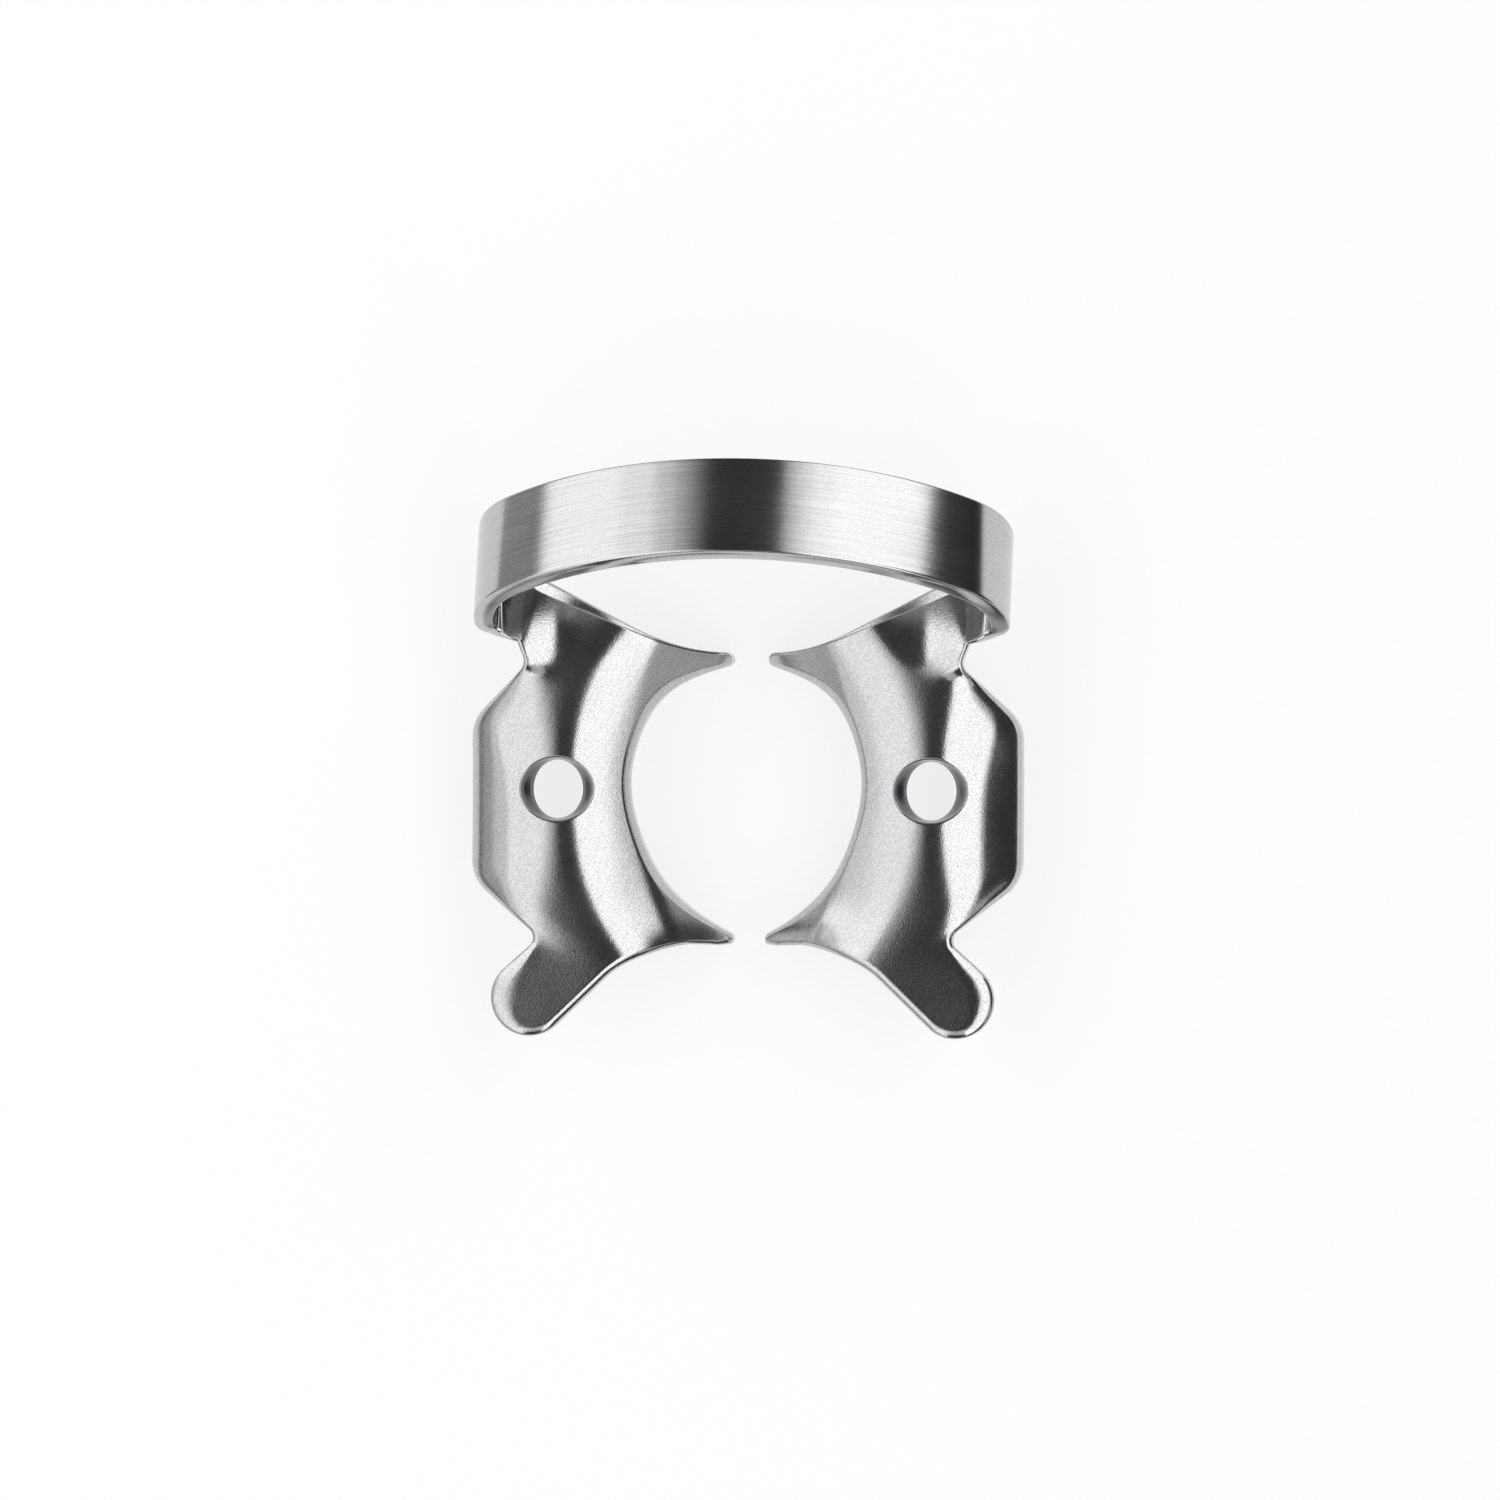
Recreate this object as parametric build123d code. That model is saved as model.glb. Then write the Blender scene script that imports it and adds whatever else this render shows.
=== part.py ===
from build123d import *
import math
import os

# Rubber dam clamp: one strip of spring steel, stamped to its outline and then bent.
# Millimetres. +X is to one side, +Y runs back along the jaws to the bow, +Z points up from the prong tips.
# The two jaws mirror each other across X = 0, and jaw values below are those of the jaw on the +X side.

# Strip
strip = 0.8

# Bow: a flat band arched over the gap between the jaws and leaning back
bow_width = 4.0
bow_half_span = 10.42
bow_rise = 7.95
bow_lean = 26.0
bow_front_y = 4.17
shoulder_radius = 4.0
curl_radius = 1.5

# Neck: where the jaw plate folds down to the back and runs into the curl, up to an angle on the curl
neck_curl_angle = 21.1
neck_front_y = 3.75
neck_fold_y = 3.15
neck_fold_slant = 0.45
neck_fold_start_x = 6.6
neck_fold_softness = 0.16

# Prongs: tip centre, tip rounding, and the angles at which the rounding starts and ends
rear_tip_x = 0.98
rear_tip_y = 3.46
rear_tip_radius = 0.28
rear_tip_back_angle = 92.0
rear_tip_low_angle = 252.0
front_tip_x = 0.88
front_tip_y = -7.38
front_tip_radius = 0.26
front_tip_back_angle = 118.0
front_tip_low_angle = 270.0

# Opening for the tooth: points of its edge, from the rear prong to the front one
opening_rear_x = 3.26
opening_rear_y = 2.0
opening_middle_x = 4.52
opening_middle_y = -1.4
opening_front_x = 3.22
opening_front_y = -5.2

# Rear edge of the jaw, straight from the neck and then curving into the rear prong
rear_edge_x = 4.6
rear_edge_y = 4.83
rear_edge_angle = 27.6

# Front edge of the jaw, curving from the front prong and then straight to the tab
front_edge_x = 5.3
front_edge_angle = 44.0

# Tab with a round end
tab_x = 8.3
tab_y = -9.7
tab_radius = 1.5
tab_side_angle = 138.0

# Wing: straight outer edge, slanted corners and the two notches beside it
wing_edge_x = 10.74
wing_rear_corner_y = 1.05
wing_front_corner_y = -5.12
wing_rear_angle = 136.0
wing_front_angle = 218.7
wing_corner_radius = 1.6
front_notch_radius = 0.43
rear_notch_x = 8.46
rear_notch_radius = 0.5

# Bends of the jaw: slopes in degrees, the lines they follow and how softly they turn
flange_slope = 25.0
flange_bend_x = 6.65
flange_bend_y = -1.35
flange_bend_radius = 11.3
wing_slope = 24.0
wing_bend_x = 7.8
wing_bend_y = -2.0
wing_bend_radius = 19.5
bend_softness = 0.33
margin_slope = 48.0
margin_bend_x = 10.1
margin_softness = 0.3
rear_prong_slope = 42.5
front_prong_slope = 50.0
prong_crease_x = 4.3
prong_crease_y = -1.0
prong_crease_radius = 14.0
prong_crease_softness = 0.13
prong_change_length = 1.5
wing_front_end_y = -7.1
wing_rear_end_y = 3.0
wing_end_length = 0.3

# Forceps hole: a round bore, flared towards the top where the bend draws its rim wide
hole_x = 7.28
hole_y = -1.6
hole_radius = 1.06
flare_length = 4.14
flare_width = 2.56
flare_lift = 0.2
flare_depth = 0.7

# Sampling of the bent plate, the bow's overlap with it, and a length past every face
sample_step = 0.35
sample_tolerance = 0.003
sample_margin = 0.7
bow_inset = 0.012
bow_overlap = 0.25
curl_sections = 6
reach = 40.0


def ease(distance, softness):
    """Zero before a bend line and the plain distance after it, turning smoothly between the two."""
    return softness * math.log1p(math.exp(distance / softness))


def share(distance, length):
    """Zero well before a line, one well after it, with a smooth change of the given length between."""
    return 0.5 + 0.5 * math.tanh(distance / length)


def slope(degrees):
    """Drop for each millimetre along a face that is tilted by an angle."""
    return math.tan(math.radians(degrees))


def way(degrees, length=1.0):
    """A plan vector of the given length at an angle from +X."""
    return Vector(length, 0).rotate(Axis.Z, degrees)


def inside_arc(x, y, middle_x, middle_y, radius):
    """Distance of a point inside a bend line, an arc through its middle point with its centre towards -X."""
    return radius - math.hypot(x - middle_x + radius, y - middle_y)


curl_start_x = bow_half_span - strip - curl_radius
neck_end_x = curl_start_x + curl_radius * math.sin(math.radians(neck_curl_angle))


def curl_height(x):
    """Rise of the strip's inner face along the curl, and straight on past the neck's end."""
    run = min(max(x - curl_start_x, 0.0), neck_end_x - curl_start_x)
    rise = curl_radius - math.sqrt(curl_radius**2 - run**2)
    return rise + max(x - neck_end_x, 0.0) * slope(neck_curl_angle)


def jaw_height(x, y):
    """Height of the jaw's upper face over its flat: flange, prongs, wing and neck each drop away from it."""
    flange_in = inside_arc(x, y, flange_bend_x, flange_bend_y, flange_bend_radius)
    flange_drop = slope(flange_slope) * ease(flange_in, bend_softness)

    prong_in = inside_arc(x, y, prong_crease_x, prong_crease_y, prong_crease_radius)
    rear = share(y - prong_crease_y, prong_change_length)
    prong_slope = rear * slope(rear_prong_slope) + (1 - rear) * slope(front_prong_slope)
    prong_drop = (prong_slope - slope(flange_slope)) * ease(prong_in, prong_crease_softness)

    wing_out = inside_arc(-x, y, -wing_bend_x, wing_bend_y, wing_bend_radius)
    wing_drop = slope(wing_slope) * ease(wing_out, bend_softness)
    margin_steepening = slope(margin_slope) - slope(wing_slope)
    margin_drop = margin_steepening * ease(x - margin_bend_x, margin_softness)
    neck = share(y - wing_rear_end_y, wing_end_length)
    on_wing = (1 - neck) * share(y - wing_front_end_y, wing_end_length)

    fold_y = neck_fold_y + neck_fold_slant * ease(neck_fold_start_x - x, bend_softness)
    neck_drop = slope(bow_lean) * ease(y - fold_y, neck_fold_softness)
    curl_lift = neck * curl_height(x) / math.cos(math.radians(bow_lean))
    return curl_lift - neck_drop - flange_drop - prong_drop - on_wing * (wing_drop + margin_drop)


def jaw_outline():
    """Plan face of one jaw, from the neck round the prongs, the tab and the wing, back to the neck."""
    rear_edge = Vector(rear_edge_x, rear_edge_y)
    neck_rear = rear_edge + Vector(1, slope(rear_edge_angle)) * (neck_end_x - rear_edge_x)
    rear_tip = Vector(rear_tip_x, rear_tip_y)
    rear_tip_back = rear_tip + way(rear_tip_back_angle, rear_tip_radius)
    rear_tip_low = rear_tip + way(rear_tip_low_angle, rear_tip_radius)
    front_tip = Vector(front_tip_x, front_tip_y)
    front_tip_back = front_tip + way(front_tip_back_angle, front_tip_radius)
    front_tip_low = front_tip + way(front_tip_low_angle, front_tip_radius)
    tab = Vector(tab_x, tab_y)
    tab_front = tab + way(270 - front_edge_angle, tab_radius)
    tab_end = tab + way(-front_edge_angle, tab_radius)
    tab_side = tab + way(tab_side_angle - 90, tab_radius)
    front_edge = tab_front - Vector(1, -slope(front_edge_angle)) * (tab_front.X - front_edge_x)
    wing_front = Vector(wing_edge_x, wing_front_corner_y)
    wing_rear = Vector(wing_edge_x, wing_rear_corner_y)
    tab_line = Line(tab_side, tab_side + way(tab_side_angle, reach))
    wing_line = Line(wing_front, wing_front + way(wing_front_angle, reach))
    front_notch = Vector(tab_line.intersect(wing_line).vertices()[0])
    notch_back = wing_rear + Vector(1, slope(wing_rear_angle)) * (rear_notch_x - wing_edge_x)
    neck_front = Vector(neck_end_x, neck_front_y)
    edges = [
        Line(neck_rear, rear_edge),
        Spline(
            rear_edge,
            rear_tip_back,
            tangents=[way(180 + rear_edge_angle), way(90 + rear_tip_back_angle)],
        ),
        RadiusArc(rear_tip_back, rear_tip_low, -rear_tip_radius),
        Spline(
            rear_tip_low,
            (opening_rear_x, opening_rear_y),
            (opening_middle_x, opening_middle_y),
            (opening_front_x, opening_front_y),
            front_tip_back,
            tangents=[way(90 + rear_tip_low_angle), way(90 + front_tip_back_angle)],
        ),
        RadiusArc(front_tip_back, front_tip_low, -front_tip_radius),
        Spline(front_tip_low, front_edge, tangents=[way(90 + front_tip_low_angle), way(-front_edge_angle)]),
        Line(front_edge, tab_front),
        ThreePointArc(tab_front, tab_end, tab_side),
        Polyline(tab_side, front_notch, wing_front, wing_rear, notch_back, neck_front, neck_rear),
    ]
    face = make_face(edges).face()
    rounds = [
        (front_notch, front_notch_radius),
        (wing_front, wing_corner_radius),
        (wing_rear, wing_corner_radius),
        (notch_back, rear_notch_radius),
    ]
    for corner, radius in rounds:
        face = face.fillet_2d(radius, [face.vertices().sort_by_distance(corner)[0]])
    return face


def jaw_underside(x, y):
    """Height of the jaw's lower face: one strip thickness below the upper one, measured square to it."""
    across = (jaw_height(x + sample_step, y) - jaw_height(x - sample_step, y)) / (2 * sample_step)
    along = (jaw_height(x, y + sample_step) - jaw_height(x, y - sample_step)) / (2 * sample_step)
    return jaw_height(x, y) - strip * math.sqrt(1 + across**2 + along**2)


def space_below(height, box):
    """Solid under a height surface that reaches past a plan box on every side."""
    columns = math.ceil((box.size.X + 2 * sample_margin) / sample_step) + 1
    rows = math.ceil((box.size.Y + 2 * sample_margin) / sample_step) + 1
    xs = [box.min.X - sample_margin + i * sample_step for i in range(columns)]
    ys = [box.min.Y - sample_margin + j * sample_step for j in range(rows)]
    points = [[Vector(x, y, height(x, y)) for y in ys] for x in xs]
    surface = Face.make_surface_from_array_of_points(points, tol=sample_tolerance, min_deg=3, max_deg=3)
    return Solid.extrude(surface, Vector(0, 0, -reach))


def bent_plate():
    """The jaw's plan outline as a column, kept between the jaw's upper and lower faces."""
    outline = jaw_outline()
    box = outline.bounding_box()
    column = Solid.extrude(outline.moved(Location((0, 0, -reach / 2))), Vector(0, 0, reach))
    return (column & space_below(jaw_height, box)) - space_below(jaw_underside, box)


# The bow stands in a plane that leans back: local X across, local Y up the lean, and depth forwards.
bow_foot_z = -slope(bow_lean) * (bow_front_y - neck_fold_y)
bow_plane = Plane(
    origin=(0, bow_front_y, bow_foot_z),
    x_dir=(1, 0, 0),
    z_dir=(0, -math.cos(math.radians(bow_lean)), math.sin(math.radians(bow_lean))),
)


def arch():
    """The bow above its widest points: two shoulder arcs joined by a flatter one, one strip thick."""
    shoulder_x = bow_half_span - shoulder_radius
    crown = bow_rise - curl_radius
    crown_radius = (shoulder_x**2 + crown**2 - shoulder_radius**2) / (2 * (crown - shoulder_radius))
    crown_y = bow_rise - crown_radius
    joint_angle = math.degrees(math.atan2(curl_radius - crown_y, shoulder_x))

    def outer_and_inner(inset):
        joint = Vector(shoulder_x, curl_radius) + way(joint_angle, shoulder_radius - inset)
        foot = Vector(bow_half_span - inset, curl_radius)
        middle = Vector(shoulder_x, curl_radius) + way(joint_angle / 2, shoulder_radius - inset)
        top = Vector(0, bow_rise - inset)
        flip = [Vector(-p.X, p.Y) for p in (joint, middle, foot)]
        return [
            ThreePointArc(foot, middle, joint),
            ThreePointArc(joint, top, flip[0]),
            ThreePointArc(flip[0], flip[1], flip[2]),
        ]

    outer = outer_and_inner(0)
    inner = outer_and_inner(strip)
    ends = [Line(outer[0] @ 0, inner[0] @ 0), Line(outer[2] @ 1, inner[2] @ 1)]
    profile = bow_plane * make_face(outer + inner + ends)
    return extrude(profile, -bow_width)


def curl():
    """The strip from the neck round to the bow's widest point, growing to the bow's full width."""
    start_angle = neck_curl_angle - math.degrees(bow_overlap / curl_radius)
    start_x = curl_start_x + curl_radius * math.sin(math.radians(start_angle))
    start_rear_y = rear_edge_y + slope(rear_edge_angle) * (start_x - rear_edge_x)
    start_rear = (start_rear_y - bow_front_y) / math.cos(math.radians(bow_lean)) - bow_inset
    start_front = (neck_front_y - bow_front_y) / math.cos(math.radians(bow_lean)) + bow_inset
    sections = []
    for k in range(curl_sections):
        left = 1 - k / (curl_sections - 1)
        angle = 90 - left * (90 - start_angle)
        front = -left * start_front
        rear = -bow_width + left * (bow_width - start_rear)
        inset = left * bow_inset
        centre = Vector(curl_start_x, curl_radius)
        near = centre + way(angle - 90, curl_radius + inset)
        far = centre + way(angle - 90, curl_radius + strip - inset)
        shear = left * strip * slope(bow_lean)
        corners = [(near, front), (far, front - shear), (far, rear - shear), (near, rear)]
        loop = [bow_plane.from_local_coords(Vector(p.X, p.Y, depth)) for p, depth in corners]
        sections.append(make_face(Polyline(*loop, close=True)))
    return loft(sections)


def forceps_hole():
    """Cutters for the round bore and for the flare above it, an oval cone that is long across the jaw."""
    place = Location((hole_x, hole_y, jaw_height(hole_x, hole_y)))
    bore = Solid.make_cylinder(hole_radius, reach, Plane((0, 0, -reach / 2)))
    flare_top = Plane.XY.offset(flare_lift) * Ellipse(flare_length / 2, flare_width / 2)
    flare_end = Plane.XY.offset(-flare_depth) * Circle(hole_radius)
    flare = loft([flare_top.face(), flare_end.face()]).solid()
    return bore.moved(place), flare.moved(place)


jaw = bent_plate()
for cutter in forceps_hole():
    jaw = jaw.cut(cutter)
strap = arch().fuse(curl(), curl().mirror(Plane.YZ)).solid()
formed = strap.fuse(jaw).solid().fuse(jaw.mirror(Plane.YZ)).solid()

# The origin lies under the middle of the part, level with the prong tips.
extent = formed.bounding_box()
clamp = formed.moved(Location((0, -extent.center().Y, -extent.min.Z)))
clamp.label = "clamp"
os.makedirs("parts", exist_ok=True)
export_step(clamp, "parts/clamp.step")
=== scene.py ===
import math

import bmesh
import bpy
import numpy as np
from mathutils import Matrix, Vector


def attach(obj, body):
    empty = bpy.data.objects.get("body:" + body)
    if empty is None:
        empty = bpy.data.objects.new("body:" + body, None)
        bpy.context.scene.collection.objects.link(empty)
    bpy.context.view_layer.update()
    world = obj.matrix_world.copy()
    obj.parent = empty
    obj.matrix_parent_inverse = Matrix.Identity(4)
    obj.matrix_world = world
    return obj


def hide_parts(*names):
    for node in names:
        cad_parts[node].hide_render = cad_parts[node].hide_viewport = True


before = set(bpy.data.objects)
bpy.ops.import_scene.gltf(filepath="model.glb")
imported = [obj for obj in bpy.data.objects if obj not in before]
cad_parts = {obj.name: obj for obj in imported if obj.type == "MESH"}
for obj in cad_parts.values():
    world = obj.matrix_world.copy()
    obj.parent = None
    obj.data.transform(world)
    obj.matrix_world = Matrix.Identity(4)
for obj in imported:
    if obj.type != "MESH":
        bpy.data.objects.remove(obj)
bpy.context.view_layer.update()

# Rubber dam clamp: one strip of spring steel, stamped, ground along its gripping edges and bent.
# Millimetres and degrees in the part's own frame; jaw values are those of the jaw on the +X side.
# A circle or a round bend line is written as x, y and radius: for a bend line, x and y are its middle.
MM = 0.001
strip = 0.8

# Where the flat of the jaws lies over the prong tips, and the part's middle along the jaws
jaw_level = 4.2462
part_middle = 0.0251

# Bow: a flat band arched over the gap and leaning back, with the curl that joins it to the neck
bow_width = 4.0
bow_half_span = 10.42
bow_rise = 7.95
bow_lean = 26.0
bow_front_y = 4.17
bow_edge = 0.12
bow_edge_depth = 0.08
bow_edge_roundness = 1.6
shoulder_radius = 4.0
curl_radius = 1.5
neck_curl_angle = 21.1
curl_start_x = bow_half_span - strip - curl_radius
neck_end_x = curl_start_x + curl_radius * math.sin(math.radians(neck_curl_angle))

# Flange: it slopes down to the opening, more steeply at its front and past a second bend
flange_slope = 22.0
flange_bend = (6.65, -1.35, 11.3)
flange_front_slope = 30.3
flange_front_y = -4.5
flange_front_softness = 1.5
flange_roll_slope = 29.5
flange_roll = (5.45, -1.35, 11.3)
bend_softness = 0.33

# Prongs: they turn down at a crease, the rear one again at its tip and the front one along its front edge
rear_prong_slope = 38.5
front_prong_slope = 45.0
prong_crease = (4.3, -1.0, 14.0)
prong_crease_softness = 0.1
prong_change = 1.5
prong_tip_slope = 51.0
prong_tip_start = 2.3
prong_tip_softness = 0.12
prong_roll_slope = 25.0
prong_roll_x = 3.1
prong_roll_fade = 0.6
prong_roll_y = -6.9
prong_roll_softness = 0.2

# Wing: it slopes down outwards, rolls over further out behind than in front, and ends in a pressed margin.
# Its bend line is written for the mirrored jaw, because its centre lies outwards.
wing_slope = 22.0
wing_bend = (-7.8, -2.0, 19.5)
wing_end_y = -7.1
wing_end_fade = 0.8
wing_roll_slope = 32.0
wing_roll_softness = 0.1
wing_roll_front_x = 9.25
wing_roll_shift = 0.7
wing_roll_shift_y = -0.2
wing_roll_shift_softness = 1.4
margin_slope = 42.0
margin_width = 0.68
margin_softness = 0.14
margin_roll_slope = 48.0
margin_roll_width = 0.33
margin_roll_softness = 0.04
margin_corner_softness = 0.12

# Neck: it leans back past a fold, rises outwards to the curl and takes on the bow's lean there
neck_start_y = 3.0
neck_start_softness = 0.4
neck_slope = 9.0
neck_fold_y = 3.15
neck_fold_x = 6.6
neck_fold_skew = 0.45
neck_fold_softness = 0.3
neck_twist_x = 8.8
neck_twist_softness = 0.5
neck_rise_x = 7.4
neck_rise_slope = 24.0
neck_rise_softness = 0.32

# Plan of the jaw's inner side: the neck's rear edge, both prongs and the opening between them
rear_edge_angle = 27.6
rear_edge_start_x = 8.9
rear_edge_wide_x = 7.9
rear_corner = np.array([4.6, 4.83])
rear_prong_back = (2.66, 4.0)
rear_tip = (0.98, 3.46, 0.28)
rear_tip_angles = (92, 252)
opening_points = [(2.05, 2.78), (3.26, 2.0), (4.2, 0.4), (4.52, -1.4), (4.19, -3.2), (3.22, -5.2)]
opening_angles = (342, 208)
front_tip = (0.88, -7.42, 0.26)
front_tip_angles = (118, 270)
front_prong_front = [(2.0, -7.62), (3.55, -7.94)]
front_edge_angle = -44.0
front_edge_x = 5.3

# Plan of its outer side: the notch beside the neck, the wing, the front notch and the tab
neck_side_angle = 68.0
neck_side_length = 1.0
rear_notch_x = 8.46
rear_notch_radius = 0.5
wing_edge_x = 10.74
wing_rear = np.array([wing_edge_x, 1.05])
wing_rear_angle = 136.0
wing_front = np.array([wing_edge_x, -5.12])
wing_front_angle = 218.7
wing_corner_radius = 1.6
front_notch_radius = 0.43
tab_side_angle = 138.0
tab_end = (8.3, -9.7, 1.4995)

# Forceps hole: half widths of the drawn rim and of the bore below it, how far their edges are rounded,
# and half the square that the mesh keeps round it
hole = np.array([7.28, -1.6])
hole_rim = np.array([1.395, 1.22])
hole_rim_round = 0.1
hole_through = np.array([0.97, 1.135])
hole_through_round = 0.08
hole_square = 1.9

# Steps across an edge from its inset line to its outline, and the small roundings that end it
edge_steps = np.array([0.0, 0.12, 0.25, 0.42, 0.6, 0.78, 0.92, 1.0])
edge_end = np.array([0.0, 0.0, 0.0, 0.0, 0.0, 0.0, 0.008, 0.045])
under_fall = 1 - np.sqrt(1 - edge_steps**4)
under_round = 0.07


def slope(degrees):
    """Drop for each millimetre along a face that is tilted by an angle: its tangent."""
    return math.tan(math.radians(degrees))


def way(degrees):
    """Plan direction at an angle from +X: its cosine and sine."""
    return np.array([math.cos(math.radians(degrees)), math.sin(math.radians(degrees))])


def ease(distance, softness):
    """Zero before a line, the plain distance past it: softness times the log of one plus its exponential."""
    return softness * np.logaddexp(0.0, distance / softness)


def share(distance, length):
    """Zero well before a line and one well after it: half of one plus the hyperbolic tangent."""
    return 0.5 + 0.5 * np.tanh(distance / length)


def smooth(part):
    """Rises from zero to one with a level start and end: three squares less two cubes."""
    return part * part * (3 - 2 * part)


def inside_arc(x, y, bend):
    """Distance inside a bend line: its radius less the distance from its centre, which lies towards -X."""
    middle_x, middle_y, radius = bend
    return radius - np.hypot(x - middle_x + radius, y - middle_y)


def inside_line(x, y, corner, degrees):
    """Distance in from a straight side: the way to a corner on it, measured square to the side."""
    angle = math.radians(degrees)
    return (corner[0] - x) * math.sin(angle) - (corner[1] - y) * math.cos(angle)


def wing_reach(x, y):
    """Distance in from the wing's outline: the softened least of the distances from its three sides."""
    side = wing_edge_x - x
    rear = inside_line(x, y, wing_rear, wing_rear_angle)
    front = inside_line(x, y, wing_front, wing_front_angle - 180)
    nearest = np.logaddexp(-side / margin_corner_softness, -rear / margin_corner_softness)
    return -margin_corner_softness * np.logaddexp(nearest, -front / margin_corner_softness)


def on_neck(y):
    """Share of the neck's form in a row: none at the wing and all of it behind the rear notch."""
    return share(y - neck_start_y, neck_start_softness)


def flange_drop(x, y):
    """Drop of the flange: its slope times the way past its bend, and the change of slope past its roll."""
    to_front = share(flange_front_y - y, flange_front_softness)
    tilt = slope(flange_slope) + (slope(flange_front_slope) - slope(flange_slope)) * to_front
    drop = tilt * ease(inside_arc(x, y, flange_bend), bend_softness)
    return drop + (slope(flange_roll_slope) - tilt) * ease(inside_arc(x, y, flange_roll), bend_softness)


def prong_drop(x, y):
    """Further drop of the prongs: each change of slope times the way past its crease, tip or front edge."""
    rear = share(y - prong_crease[1], prong_change)
    tilt = rear * slope(rear_prong_slope) + (1 - rear) * slope(front_prong_slope)
    past_crease = inside_arc(x, y, prong_crease)
    drop = (tilt - slope(flange_roll_slope)) * ease(past_crease, prong_crease_softness)
    drop += rear * (slope(prong_tip_slope) - tilt) * ease(past_crease - prong_tip_start, prong_tip_softness)
    roll = share(prong_roll_x - x, prong_roll_fade) * ease(prong_roll_y - y, prong_roll_softness)
    return drop + slope(prong_roll_slope) * roll


def wing_drop(x, y):
    """Drop of the wing and its margin, between the notches: each change of slope times the way past it."""
    roll_x = wing_roll_front_x + wing_roll_shift * share(y - wing_roll_shift_y, wing_roll_shift_softness)
    wing = slope(wing_slope) * ease(inside_arc(-x, y, wing_bend), bend_softness)
    wing += (slope(wing_roll_slope) - slope(wing_slope)) * ease(x - roll_x, wing_roll_softness)
    reach = wing_reach(x, y)
    margin = (slope(margin_slope) - slope(wing_roll_slope)) * ease(margin_width - reach, margin_softness)
    rolled = ease(margin_roll_width - reach, margin_roll_softness)
    margin += (slope(margin_roll_slope) - slope(margin_slope)) * rolled
    on_wing = (1 - on_neck(y)) * share(y - wing_end_y, wing_end_fade)
    return on_wing * (wing + margin)


def neck_height(x, y):
    """Height of the neck: its rise times the way out, less its lean times the way past the fold."""
    fold_y = neck_fold_y + neck_fold_skew * ease(neck_fold_x - x, bend_softness)
    twist = share(x - neck_twist_x, neck_twist_softness)
    lean = slope(neck_slope) + (slope(bow_lean) - slope(neck_slope)) * twist
    rise = on_neck(y) * slope(neck_rise_slope) * ease(x - neck_rise_x, neck_rise_softness)
    return rise - lean * ease(y - fold_y, neck_fold_softness)


def jaw_top(x, y):
    """Height of the jaw's upper face: the neck's height less the drops of flange, prongs and wing."""
    return neck_height(x, y) - flange_drop(x, y) - prong_drop(x, y) - wing_drop(x, y)


def jaw_under(x, y):
    """Height of the jaw's lower face: one strip below the upper one, square to its slope there."""
    step = 0.35
    across = (jaw_top(x + step, y) - jaw_top(x - step, y)) / (2 * step)
    along = (jaw_top(x, y + step) - jaw_top(x, y - step)) / (2 * step)
    return jaw_top(x, y) - strip * np.sqrt(1 + across**2 + along**2)


def straight(start, end, count):
    """Points evenly spaced from one end of a straight edge to the other."""
    part = np.linspace(0, 1, count)[:, None]
    return (1 - part) * np.array(start) + part * np.array(end)


def arc(circle, start, end, count):
    """Points of a circle from one angle to another: centre plus radius times cosine and sine."""
    angle = np.radians(np.linspace(start, end, count))
    return np.column_stack([circle[0] + circle[2] * np.cos(angle), circle[1] + circle[2] * np.sin(angle)])


def on_circle(circle, degrees):
    """The point of a circle at an angle."""
    return arc(circle, degrees, degrees, 1)[0]


def rounding(before, corner, after, radius, count):
    """Arc that touches both legs of a corner: its centre lies on the corner's bisector."""
    first = (before - corner) / np.linalg.norm(before - corner)
    second = (after - corner) / np.linalg.norm(after - corner)
    half = math.acos(float(first @ second)) / 2
    centre = corner + (first + second) / np.linalg.norm(first + second) * radius / math.sin(half)
    leg = radius / math.tan(half)
    touch = np.array([corner + first * leg, corner + second * leg]) - centre
    angle = np.degrees(np.unwrap(np.arctan2(touch[:, 1], touch[:, 0])))
    return arc((centre[0], centre[1], radius), angle[0], angle[1], count)


def curve(points, start_angle, end_angle, count):
    """Cubic spline through points, with given end directions and an even curvature at each point."""
    p = np.array(points, dtype=float)
    length = np.linalg.norm(np.diff(p, axis=0), axis=1)
    system = np.diag(np.concatenate([[1], 2 / length[:-1] + 2 / length[1:], [1]]))
    system[1:-1, :-2] += np.diag(1 / length[:-1])
    system[1:-1, 2:] += np.diag(1 / length[1:])
    pull = np.diff(p, axis=0) / length[:, None] ** 2
    wanted = np.vstack([way(start_angle), 3 * (pull[:-1] + pull[1:]), way(end_angle)])
    tangent = np.linalg.solve(system, wanted)
    knot = np.concatenate([[0], np.cumsum(length)])
    at = np.linspace(0, knot[-1], count)
    k = np.clip(np.searchsorted(knot, at, side="right") - 1, 0, len(length) - 1)
    u = ((at - knot[k]) / length[k])[:, None]
    h = length[k][:, None]
    start = (1 + 2 * u) * (1 - u) ** 2 * p[k] + u * (1 - u) ** 2 * h * tangent[k]
    return start + u * u * (3 - 2 * u) * p[k + 1] + u * u * (u - 1) * h * tangent[k + 1]


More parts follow.
